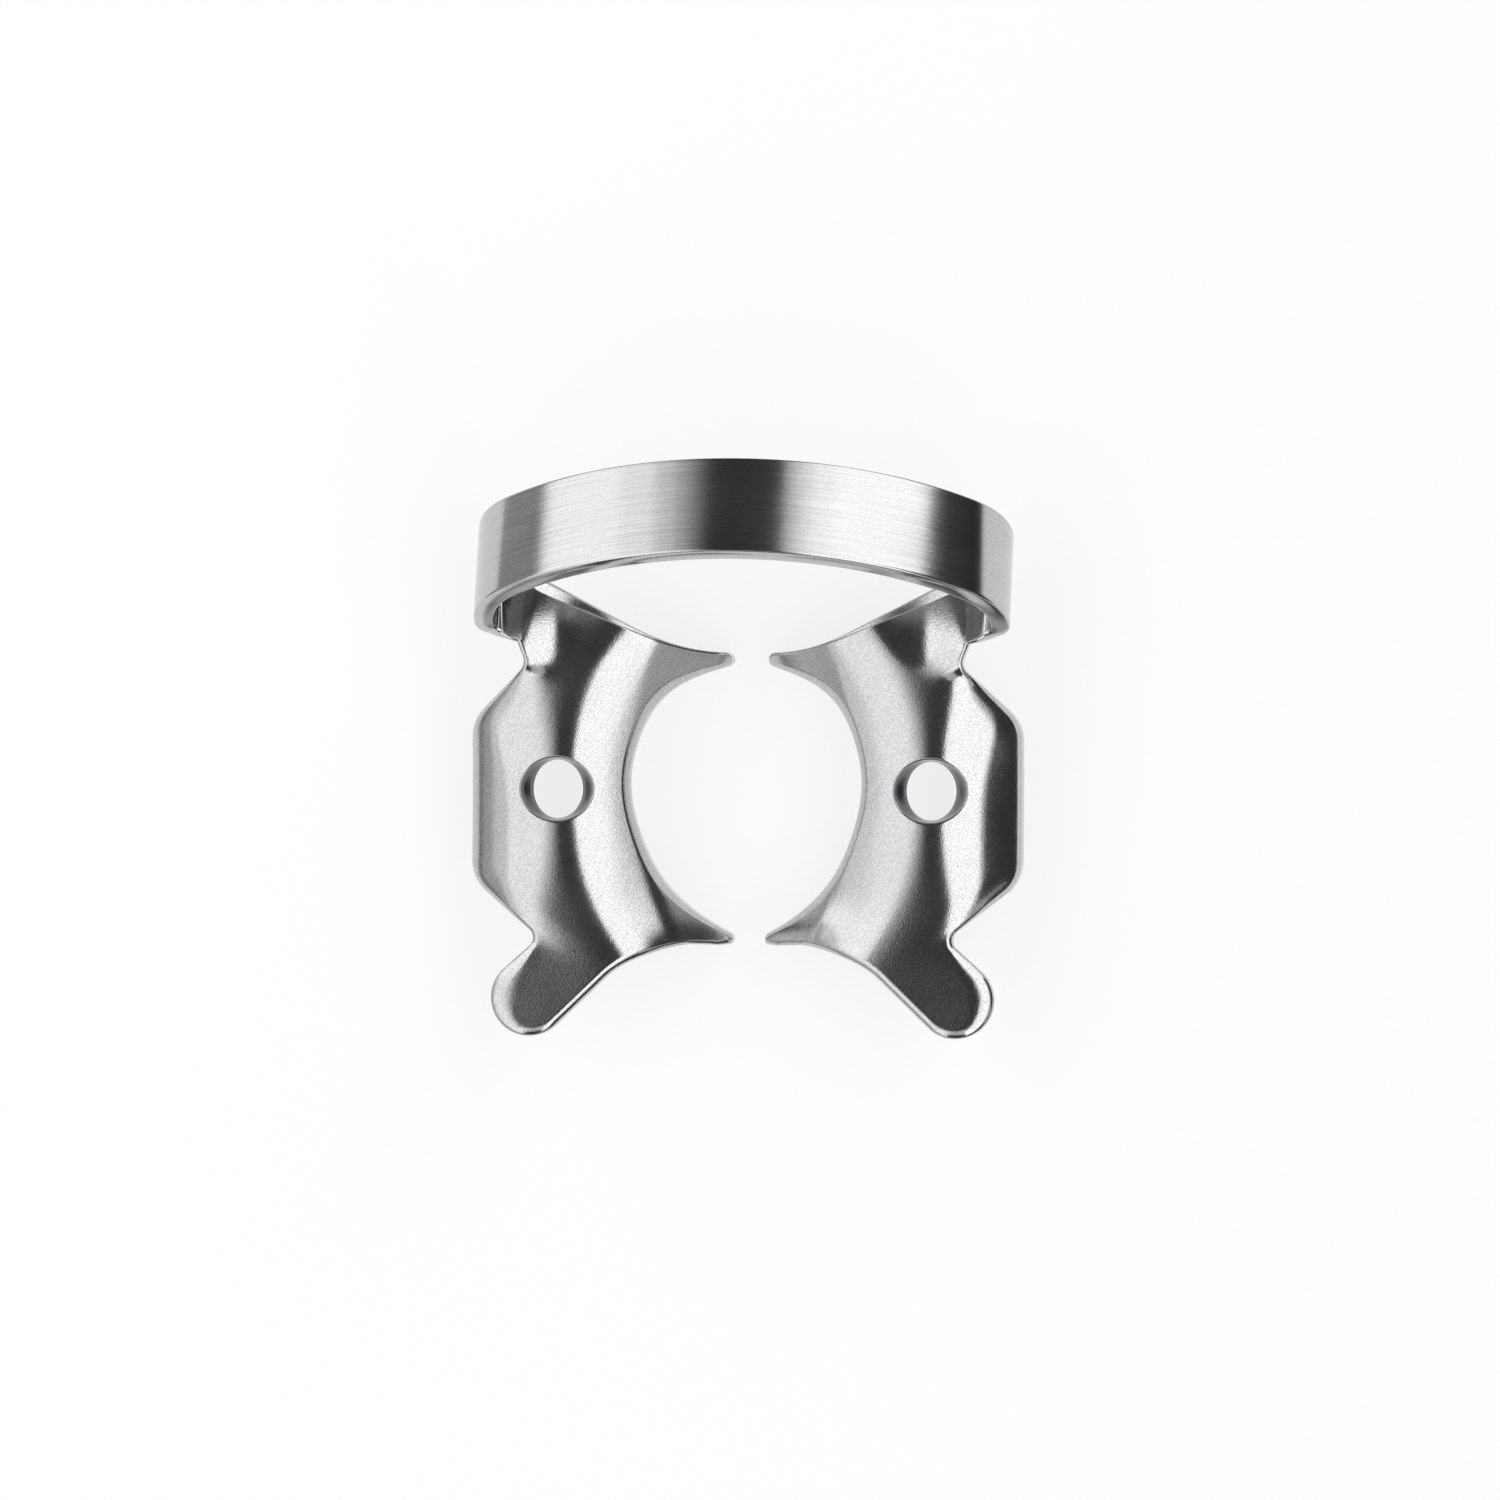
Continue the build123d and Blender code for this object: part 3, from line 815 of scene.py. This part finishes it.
def lamp(name, middle, away, width, height, radiance):
    """Upright area light that faces the clamp from one side, with a radiance that its size doesn't change."""
    light = bpy.data.lights.new(name, "AREA")
    light.shape = "RECTANGLE"
    light.size = width
    light.size_y = height
    light.energy = radiance * math.pi * width * height
    new = bpy.data.objects.new(name, light)
    bpy.context.scene.collection.objects.link(new)
    facing = Vector(away).to_track_quat("Z", "Y").to_matrix().to_4x4()
    new.matrix_world = Matrix.Translation(middle) @ facing


def softbox(name, side, along, heights, radiance):
    """Softbox beside the clamp, across X, between two places along the jaws and two heights."""
    middle = (side, sum(along) / 2, sum(heights) / 2)
    lamp(name, middle, (side, 0, 0), along[1] - along[0], heights[1] - heights[0], radiance)


def fading(radiance, power, steps=6):
    """Radiance of each strip of a softbox's fading end: it falls with a power of what is left of the way."""
    return [radiance * (1 - (step + 0.5) / steps) ** power for step in range(steps)]


def softbox_end(name, side, along, heights, radiance, power):
    """Fading end of a softbox: even strips along the jaws."""
    strips = fading(radiance, power)
    stops = np.linspace(*along, len(strips) + 1).tolist()
    for step, level in enumerate(strips):
        softbox(f"{name}_{step}", side, stops[step:step + 2], heights, level)


def softbox_top(name, side, along, heights, radiance, power):
    """Fading top of a softbox: strips upwards, each taller than the last by the same factor."""
    strips = fading(radiance, power)
    stops = np.geomspace(*heights, len(strips) + 1).tolist()
    for step, level in enumerate(strips):
        softbox(f"{name}_{step}", side, along, stops[step:step + 2], level)


def studio_light():
    """Dim grey room with an upright softbox at each side, in parts of their own level, and a weak front one.

    Places are in metres. Each side has a main panel, weaker parts below it and a part to the rear that fades
    out, and the left panel fades upwards too.
    """
    world = bpy.data.worlds.new("studio")
    world.use_nodes = True
    world.node_tree.nodes["Background"].inputs["Color"].default_value = linear("#3e3e40")
    bpy.context.scene.world = world
    right, left = 0.25, -0.25
    beside = (-0.9, 0.1)
    softbox("right_softbox", right, (-0.9, 0.45), (0.225, 0.87), 1.8)
    softbox("right_softbox_low", right, (-0.9, 0.19), (0.18, 0.225), 0.7)
    softbox("right_softbox_rear", right, (0.19, 0.45), (0.04, 0.225), 1.8)
    softbox("right_softbox_foot", right, (-0.2, -0.05), (0.06, 0.18), 0.5)
    softbox_end("right_softbox_end", right, (0.45, 1.4), (0.04, 0.87), 1.8, 1.2)
    softbox("left_softbox", left, beside, (0.16, 0.45), 1.4)
    softbox_top("left_softbox_top", left, beside, (0.45, 2.2), 1.4, 1.2)
    softbox("left_softbox_low", left, beside, (0.075, 0.16), 0.95)
    softbox("left_softbox_foot", left, beside, (0.01, 0.075), 0.5)
    softbox("left_softbox_rear", left, (0.1, 0.28), (0.02, 0.8), 1.6)
    softbox_end("left_softbox_end", left, (0.28, 1.0), (0.02, 0.8), 1.6, 2.0)
    lamp("front_softbox", (0, -0.45, 0.75), (0, -1, 0), 0.5, 0.8, 0.6)


def studio_camera():
    """Long lens above the clamp, a little off square, at the distance that gives the photograph's width."""
    lens, sensor, view_width = 360.0, 36.0, 58.29 * MM
    target = Vector((0.167, -0.074, 3)) * MM
    to_right, to_rear, turn = 5.4, -0.5, 0.33
    camera = bpy.data.objects.new("camera", bpy.data.cameras.new("camera"))
    camera.data.lens = lens
    camera.data.sensor_width = sensor
    camera.data.clip_end = 10
    lean = Matrix.Rotation(math.radians(to_right), 4, "Y") @ Matrix.Rotation(math.radians(to_rear), 4, "X")
    facing = lean @ Matrix.Rotation(math.radians(turn), 4, "Z")
    distance = lens / sensor * view_width
    camera.matrix_world = Matrix.Translation(target) @ facing @ Matrix.Translation((0, 0, distance))
    bpy.context.scene.collection.objects.link(camera)
    bpy.context.scene.camera = camera


# The clamp in its steel, on the floor, under the light and before the camera
clamp = clamp_piece()
clamp.data.materials.append(stainless_steel())
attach(clamp, "root")
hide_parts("clamp")
floor()
studio_light()
studio_camera()
bpy.context.scene.view_settings.view_transform = "Standard"
